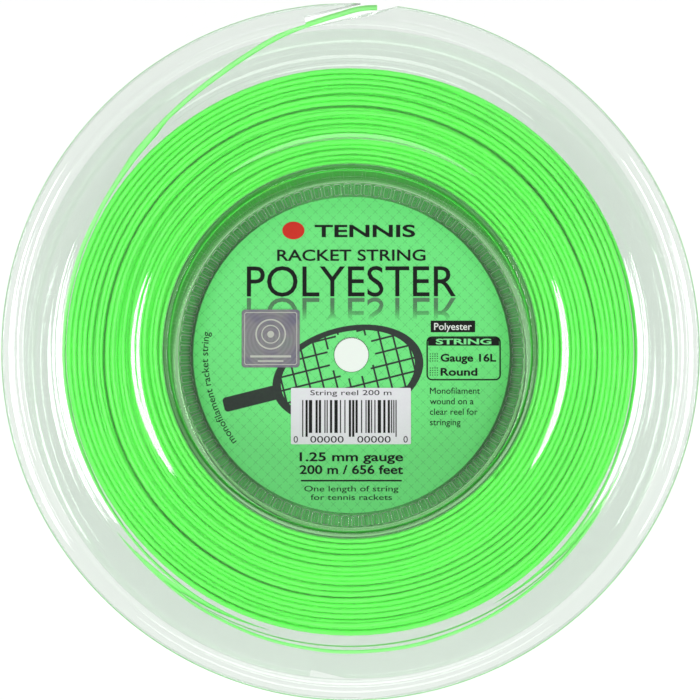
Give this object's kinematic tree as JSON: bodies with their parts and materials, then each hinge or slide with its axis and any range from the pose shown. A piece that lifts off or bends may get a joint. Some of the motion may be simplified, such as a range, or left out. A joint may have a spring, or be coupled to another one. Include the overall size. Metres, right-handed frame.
{
  "type": "string reel",
  "caption": "Clear flanged reel wound with green monofilament racket string, with a printed label in a deep hub cup and the string's free end held in a slit in the rim",
  "frame": {"origin": "on the reel's axis, in the plane of the rear rim's outer face, which the reel rests on", "axes": "+Z along the reel's axis and out of the labelled front face, +X to the right and +Y up for a reader of the label"},
  "size_m": [0.16, 0.16, 0.0445],
  "materials": {
    "clear_polystyrene": "crystal clear injection-moulded polystyrene, polished faces, faint haze",
    "printed_label": "satin printed film with a faint embossed grid",
    "rear_label_film": "plain satin film, green printed, dark adhesive side towards the clear web",
    "holographic_foil": "silver foil seal with a fine holographic shimmer",
    "white_paper": "smooth white printed sticker paper",
    "polyester_string": "bright green co-polyester monofilament, semi-gloss"
  },
  "bodies": {
    "root": {"rear_half_spool": "clear_polystyrene", "front_half_spool": "clear_polystyrene", "front_label": "printed_label", "rear_label": "rear_label_film", "security_seal": "holographic_foil", "barcode_sticker": "white_paper", "string_winding": "polyester_string", "string_tail": "polyester_string"}
  },
  "joints": []
}
